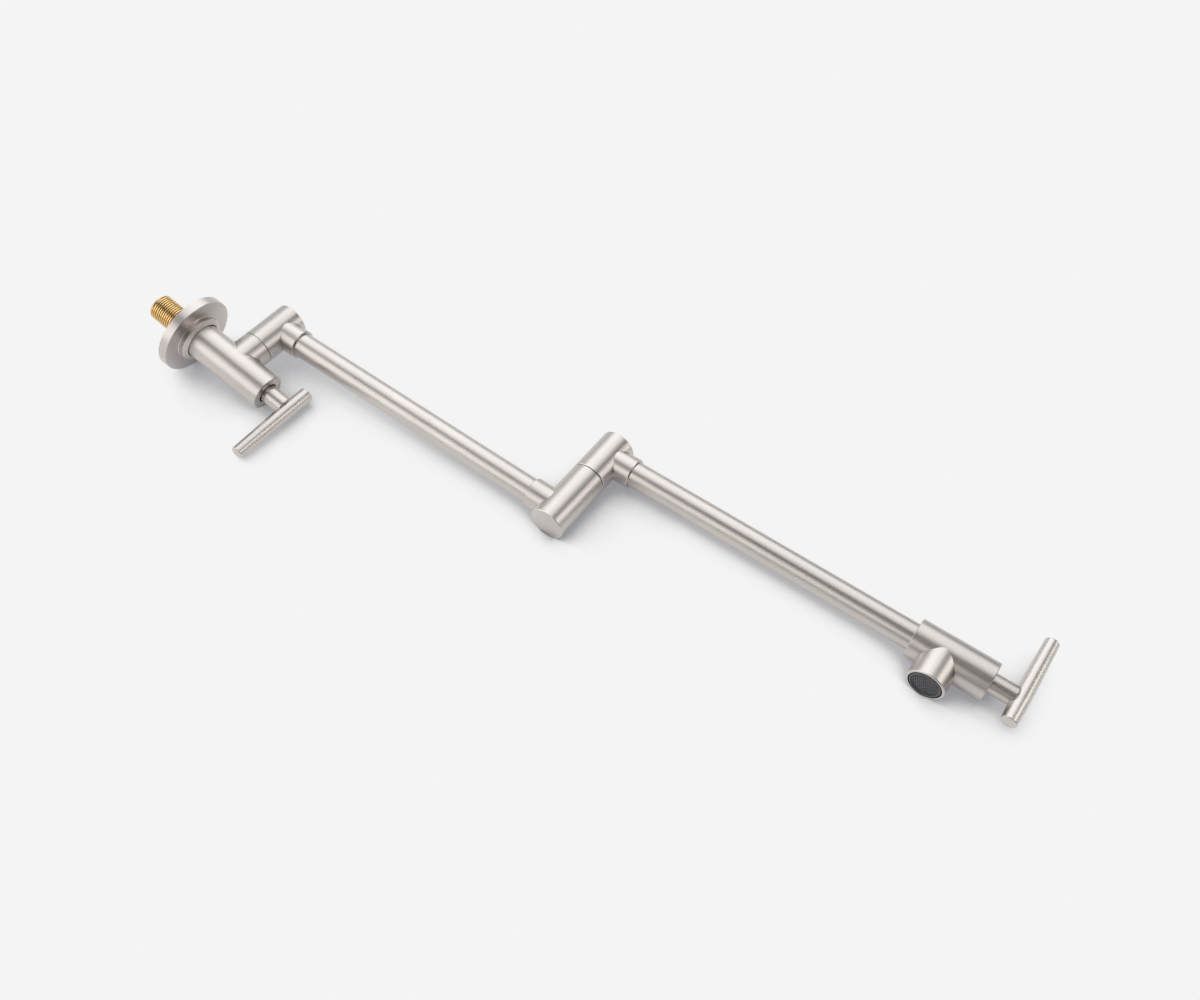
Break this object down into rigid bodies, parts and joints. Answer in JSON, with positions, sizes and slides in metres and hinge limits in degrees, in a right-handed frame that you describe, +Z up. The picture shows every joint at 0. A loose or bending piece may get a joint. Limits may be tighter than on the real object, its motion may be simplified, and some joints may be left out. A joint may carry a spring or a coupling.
{
  "type": "wall mounted pot filler",
  "caption": "Wall mounted pot filler tap: threaded inlet, round flange, quarter-turn valves with bar handles, and a tube spout that folds on swivel joints to an aerator nozzle.",
  "frame": {"origin": "centre of the flange's back face, on the inlet's axis, in the plane of the wall", "axes": "+X out of the wall along the inlet and the wall valve, +Z up, +Y to the left seen from the wall"},
  "size_m": [0.687, 0.1751, 0.2171],
  "materials": {
    "brushed_nickel": "brushed satin nickel",
    "brass": "machined",
    "stainless": "bright machined",
    "rubber": "matt",
    "ceramic": "lapped",
    "black_acetal": "matt",
    "grey_plastic": "matt"
  },
  "bodies": {
    "wall_valve": {"inlet_nipple": "brass", "wall_flange": "brushed_nickel", "flange_gasket": "rubber", "flange_o_ring": "rubber", "inlet_valve_body": "brushed_nickel", "inlet_cartridge_shell": "brass", "inlet_cartridge_o_ring": "rubber", "inlet_seat_seal": "rubber", "inlet_fixed_disc": "ceramic", "inlet_bonnet_ring": "brushed_nickel", "shoulder_spindle": "brass", "shoulder_o_rings": "rubber", "shoulder_thrust_washer": "black_acetal", "shoulder_slip_washer": "stainless", "shoulder_retaining_nut": "brass"},
    "inlet_handle": {"inlet_stem": "brass", "inlet_stem_o_rings": "rubber", "inlet_turning_disc": "ceramic", "inlet_stem_clip": "stainless", "inlet_handle_hub": "brushed_nickel", "inlet_handle_bar": "brushed_nickel", "inlet_handle_set_screw": "stainless"},
    "first_arm": {"shoulder_swivel_body": "brushed_nickel", "shoulder_cap": "brushed_nickel", "first_arm_tube": "brushed_nickel", "first_arm_gaskets": "rubber", "elbow_lower_body": "brushed_nickel", "elbow_spindle": "brass", "elbow_o_rings": "rubber", "elbow_thrust_washer": "black_acetal", "elbow_slip_washer": "stainless", "elbow_retaining_nut": "brass"},
    "second_arm": {"elbow_swivel_body": "brushed_nickel", "elbow_cap": "brushed_nickel", "second_arm_tube": "brushed_nickel", "second_arm_gaskets": "rubber", "spout_valve_body": "brushed_nickel", "spout_cartridge_shell": "brass", "spout_cartridge_o_ring": "rubber", "spout_seat_seal": "rubber", "spout_fixed_disc": "ceramic", "spout_bonnet_ring": "brushed_nickel", "aerator_washer": "rubber", "aerator_housing": "stainless", "aerator_jet_plate": "grey_plastic", "aerator_grid": "grey_plastic"},
    "spout_handle": {"spout_stem": "brass", "spout_stem_o_rings": "rubber", "spout_turning_disc": "ceramic", "spout_stem_clip": "stainless", "spout_handle_hub": "brushed_nickel", "spout_handle_bar": "brushed_nickel", "spout_handle_set_screw": "stainless"}
  },
  "joints": [
    {"name": "shoulder_swivel", "type": "hinge", "parent": "wall_valve", "child": "first_arm", "pos_m": [0.0463, 0, 0.0245], "axis": [0, 0, 1], "range_deg": [-78.7, 101.3]},
    {"name": "elbow_swivel", "type": "hinge", "parent": "first_arm", "child": "second_arm", "pos_m": [0.32087, -0.05486, 0.0846], "axis": [0, 0, 1], "continuous": true},
    {"name": "inlet_handle_turn", "type": "hinge", "parent": "wall_valve", "child": "inlet_handle", "pos_m": [0.1028, 0, 0], "axis": [1, 0, 0], "range_deg": [0, 90]},
    {"name": "spout_handle_turn", "type": "hinge", "parent": "second_arm", "child": "spout_handle", "pos_m": [0.64801, -0.1337, 0.1091], "axis": [0.9722, -0.2343, 0], "range_deg": [0, 90]}
  ]
}
